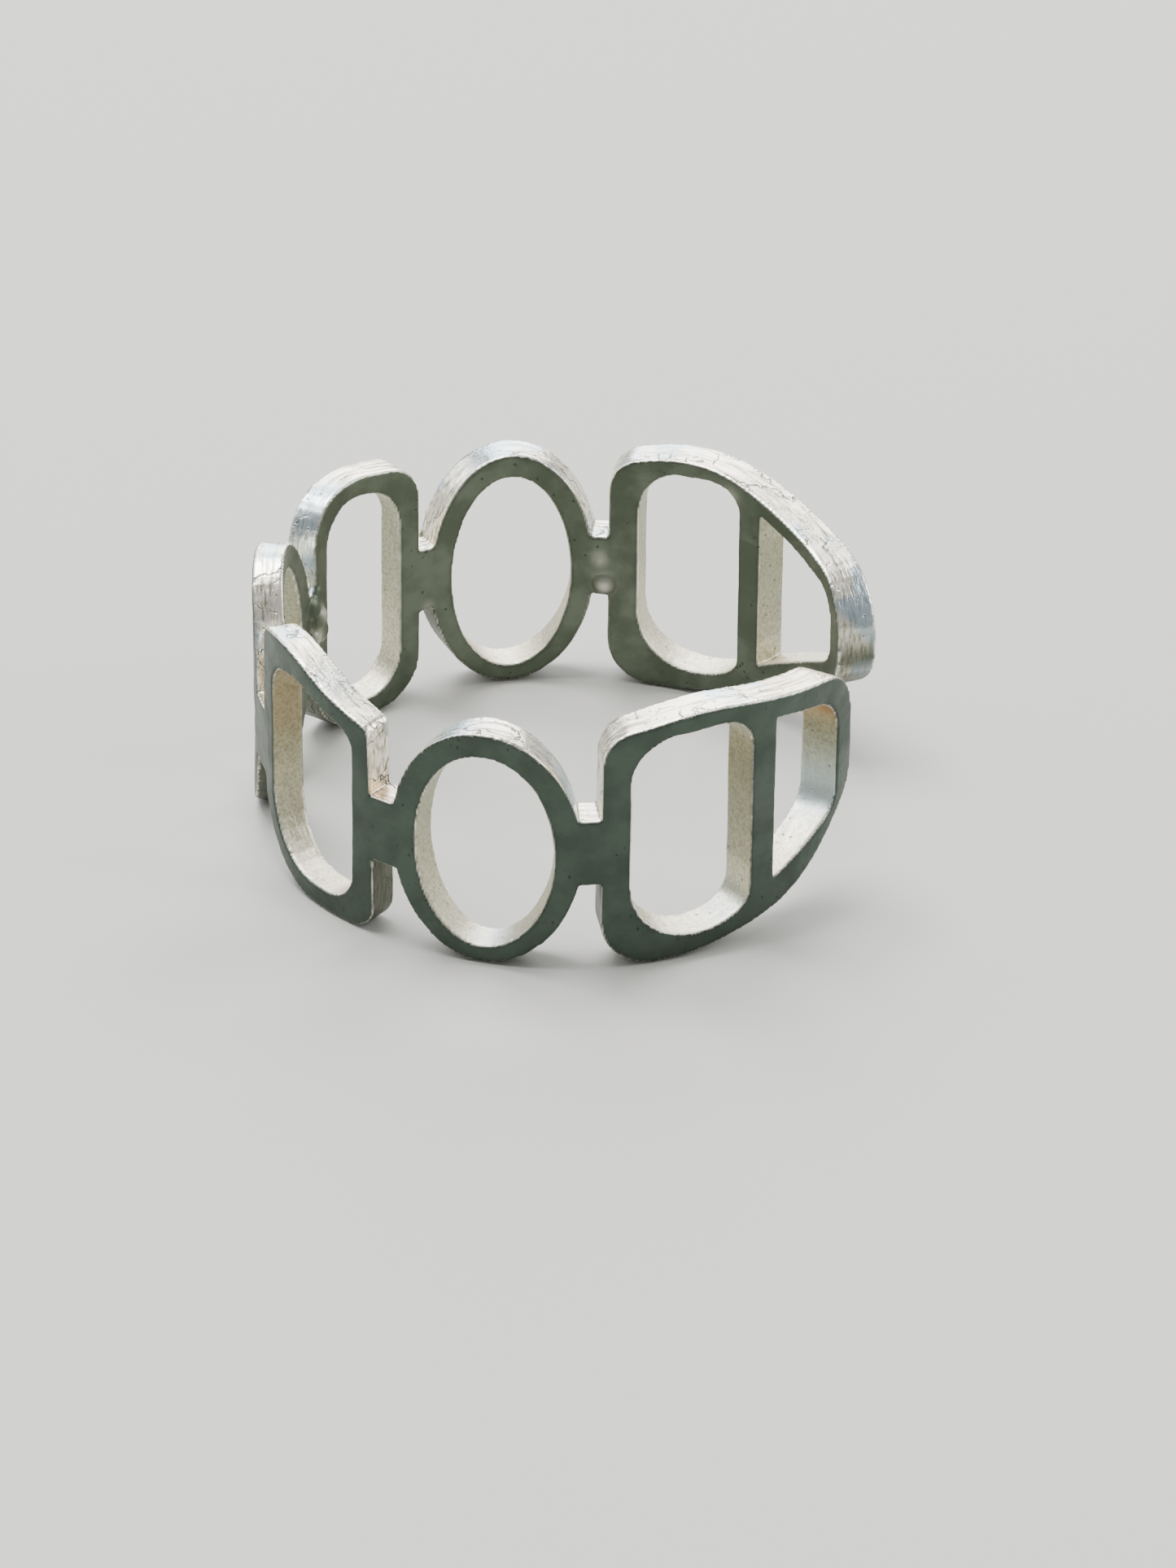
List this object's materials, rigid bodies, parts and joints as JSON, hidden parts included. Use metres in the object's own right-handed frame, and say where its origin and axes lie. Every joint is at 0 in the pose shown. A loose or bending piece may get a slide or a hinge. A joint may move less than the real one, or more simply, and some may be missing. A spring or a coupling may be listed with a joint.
{
  "type": "adjustable openwork finger ring",
  "caption": "Open, adjustable finger ring: a band of outlined oval and D-shaped silver links soldered end to end, with a gap between two bow-shaped ends.",
  "frame": {"origin": "on the finger axis, level with the band's lower rim", "axes": "+Z along the finger axis, +X through the middle of the gap in the band, front arm on the -Y side and rear arm on the +Y side"},
  "size_m": [0.0205, 0.0208, 0.0092],
  "materials": {
    "satin_silver_wire": "satin sterling silver with bright worn edges and fine scratches",
    "crossbar_silver": "satin sterling silver, sawn and lightly tarnished",
    "silver_solder": "flowed silver solder, slightly pitted"
  },
  "bodies": {
    "centre": {"centre_link": "satin_silver_wire", "front_shoulder_bridge": "silver_solder", "rear_repair_joint": "silver_solder"},
    "front_d": {"front_d_link": "satin_silver_wire", "front_side_bridge": "silver_solder"},
    "front_oval": {"front_oval_link": "satin_silver_wire", "front_end_bridge": "silver_solder"},
    "front_end": {"front_end_link": "satin_silver_wire", "front_crossbar": "crossbar_silver", "front_crossbar_top_solder": "silver_solder", "front_crossbar_foot_solder": "silver_solder"},
    "rear_d": {"rear_d_link": "satin_silver_wire", "rear_side_bridge": "silver_solder"},
    "rear_oval": {"rear_oval_link": "satin_silver_wire", "rear_end_bridge": "silver_solder"},
    "rear_end": {"rear_end_link": "satin_silver_wire", "rear_crossbar": "crossbar_silver", "rear_crossbar_top_solder": "silver_solder", "rear_crossbar_foot_solder": "silver_solder"}
  },
  "joints": [
    {"name": "front_shoulder_bend", "type": "hinge", "parent": "centre", "child": "front_d", "pos_m": [-0.00935, -0.00277, 0.0045], "axis": [0, 0, -1], "range_deg": [-2, 2], "deforming": ["front_shoulder_bridge"]},
    {"name": "front_side_bend", "type": "hinge", "parent": "front_d", "child": "front_oval", "pos_m": [-0.00515, -0.00828, 0.0045], "axis": [0, 0, -1], "range_deg": [-2, 2], "deforming": ["front_side_bridge"]},
    {"name": "front_end_bend", "type": "hinge", "parent": "front_oval", "child": "front_end", "pos_m": [0.00128, -0.00966, 0.0045], "axis": [0, 0, -1], "range_deg": [-2, 2], "deforming": ["front_end_bridge"]},
    {"name": "rear_shoulder_bend", "type": "hinge", "parent": "centre", "child": "rear_d", "pos_m": [-0.00896, 0.00385, 0.0045], "axis": [0, 0, 1], "range_deg": [-2, 2], "deforming": ["rear_repair_joint"]},
    {"name": "rear_side_bend", "type": "hinge", "parent": "rear_d", "child": "rear_oval", "pos_m": [-0.0052, 0.00825, 0.0045], "axis": [0, 0, 1], "range_deg": [-2, 2], "deforming": ["rear_side_bridge"]},
    {"name": "rear_end_bend", "type": "hinge", "parent": "rear_oval", "child": "rear_end", "pos_m": [0.00122, 0.00967, 0.0045], "axis": [0, 0, 1], "range_deg": [-2, 2], "deforming": ["rear_end_bridge"]}
  ],
  "couplings": [
    {"joint": "front_side_bend", "follows": "front_shoulder_bend", "ratio": 1},
    {"joint": "front_end_bend", "follows": "front_shoulder_bend", "ratio": 1},
    {"joint": "rear_shoulder_bend", "follows": "front_shoulder_bend", "ratio": 1},
    {"joint": "rear_side_bend", "follows": "front_shoulder_bend", "ratio": 1},
    {"joint": "rear_end_bend", "follows": "front_shoulder_bend", "ratio": 1}
  ]
}
